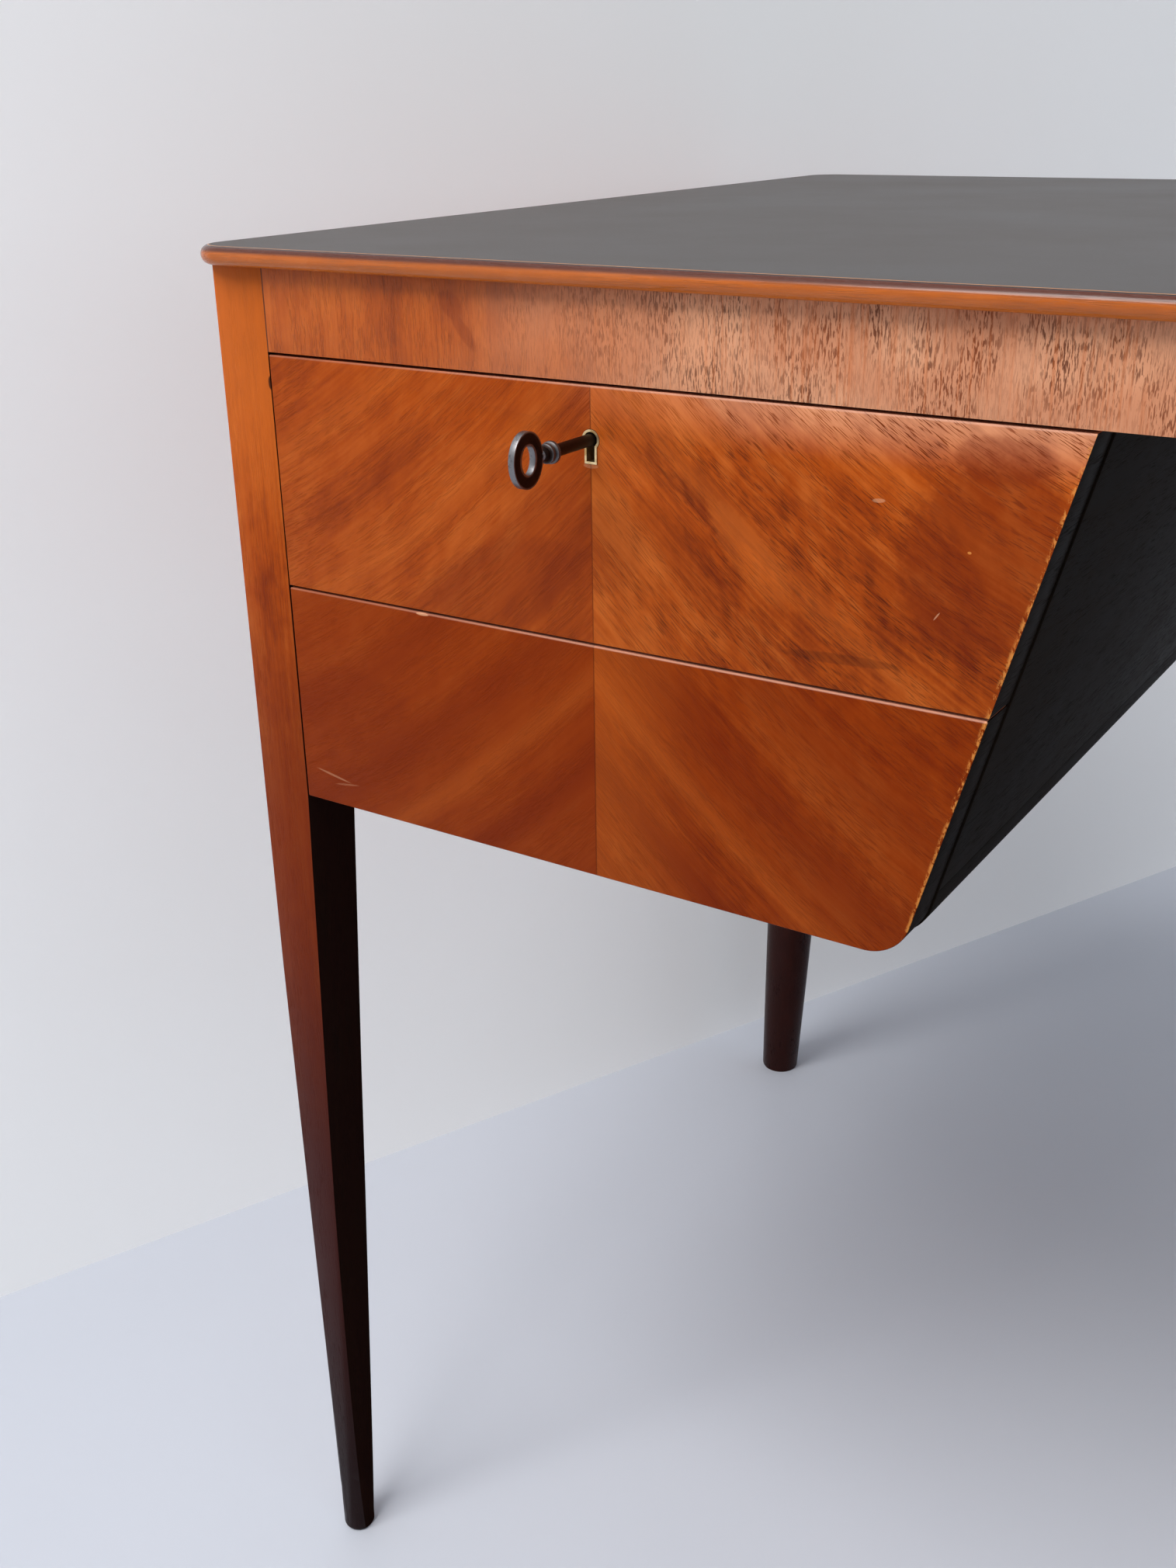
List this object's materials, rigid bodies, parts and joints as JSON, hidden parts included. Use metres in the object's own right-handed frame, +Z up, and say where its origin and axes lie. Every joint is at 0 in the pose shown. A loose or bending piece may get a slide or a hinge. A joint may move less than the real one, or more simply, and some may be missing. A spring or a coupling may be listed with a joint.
{
  "type": "writing desk",
  "caption": "Writing desk with a thin lipped top on tapered legs, and pedestals with sloping inner sides, each holding a locking drawer over a plain one.",
  "frame": {"origin": "on the floor, in the middle of the bounding box of the whole desk, keys included", "axes": "+X to the right of a person sitting at the desk, +Y from the drawer fronts to the back, +Z up"},
  "size_m": [1.3804, 0.661, 0.74],
  "materials": {
    "mahogany": "satin French polish",
    "dark_mahogany": "dark satin polish",
    "ebonised_wood": "black stained satin",
    "linoleum": "dark satin sheet",
    "beech": "waxed",
    "brass": "worn satin",
    "steel": "worn, browned"
  },
  "bodies": {
    "desk": {"top_core": "beech", "top_surface": "linoleum", "lipping_front": "mahogany", "lipping_back": "mahogany", "lipping_left": "mahogany", "lipping_right": "mahogany", "leg_front_left": "mahogany", "leg_front_right": "mahogany", "leg_rear_left": "dark_mahogany", "leg_rear_right": "dark_mahogany", "frieze_front": "mahogany", "frieze_back": "mahogany", "bearer_left": "beech", "bearer_right": "beech", "side_panel_left": "mahogany", "side_panel_right": "mahogany", "sloping_side_left": "ebonised_wood", "sloping_side_right": "ebonised_wood", "rounded_edge_left": "ebonised_wood", "rounded_edge_right": "ebonised_wood", "bottom_board_left": "beech", "bottom_board_right": "beech", "divider_left": "beech", "divider_right": "beech", "back_panel_left": "mahogany", "back_panel_right": "mahogany", "drawer_guides_left": "beech", "drawer_guides_right": "beech", "strike_plate_left": "brass", "strike_plate_right": "brass"},
    "upper_left_drawer": {"front_upper_left": "mahogany", "side_outer_upper_left": "beech", "side_inner_upper_left": "beech", "back_upper_left": "beech", "bottom_upper_left": "beech", "escutcheon_left": "brass", "lock_case_left": "steel", "lock_screws_left": "steel"},
    "lower_left_drawer": {"front_lower_left": "mahogany", "side_outer_lower_left": "beech", "side_inner_lower_left": "beech", "back_lower_left": "beech", "bottom_lower_left": "beech"},
    "left_bolt": {"lock_bolt_left": "brass"},
    "left_key": {"key_left": "steel"},
    "upper_right_drawer": {"front_upper_right": "mahogany", "side_outer_upper_right": "beech", "side_inner_upper_right": "beech", "back_upper_right": "beech", "bottom_upper_right": "beech", "escutcheon_right": "brass", "lock_case_right": "steel", "lock_screws_right": "steel"},
    "lower_right_drawer": {"front_lower_right": "mahogany", "side_outer_lower_right": "beech", "side_inner_lower_right": "beech", "back_lower_right": "beech", "bottom_lower_right": "beech"},
    "right_bolt": {"lock_bolt_right": "brass"},
    "right_key": {"key_right": "steel"}
  },
  "joints": [
    {"name": "upper_left_drawer_slide", "type": "slide", "parent": "desk", "child": "upper_left_drawer", "axis": [0, -1, 0], "range_m": [0, 0.4]},
    {"name": "lower_left_drawer_slide", "type": "slide", "parent": "desk", "child": "lower_left_drawer", "axis": [0, -1, 0], "range_m": [0, 0.4]},
    {"name": "left_key_turn", "type": "hinge", "parent": "upper_left_drawer", "child": "left_key", "pos_m": [-0.47716, -0.2785, 0.6755], "axis": [0, 1, 0], "range_deg": [0, 180]},
    {"name": "left_bolt_throw", "type": "slide", "parent": "upper_left_drawer", "child": "left_bolt", "axis": [0, 0, 1], "range_m": [0, 0.00801]},
    {"name": "upper_right_drawer_slide", "type": "slide", "parent": "desk", "child": "upper_right_drawer", "axis": [0, -1, 0], "range_m": [0, 0.4]},
    {"name": "lower_right_drawer_slide", "type": "slide", "parent": "desk", "child": "lower_right_drawer", "axis": [0, -1, 0], "range_m": [0, 0.4]},
    {"name": "right_key_turn", "type": "hinge", "parent": "upper_right_drawer", "child": "right_key", "pos_m": [0.47716, -0.2785, 0.6755], "axis": [0, 1, 0], "range_deg": [0, 180]},
    {"name": "right_bolt_throw", "type": "slide", "parent": "upper_right_drawer", "child": "right_bolt", "axis": [0, 0, 1], "range_m": [0, 0.00801]}
  ],
  "couplings": [
    {"joint": "left_bolt_throw", "follows": "left_key_turn", "m_per_rad": 0.0025465},
    {"joint": "right_bolt_throw", "follows": "right_key_turn", "m_per_rad": 0.0025465}
  ]
}
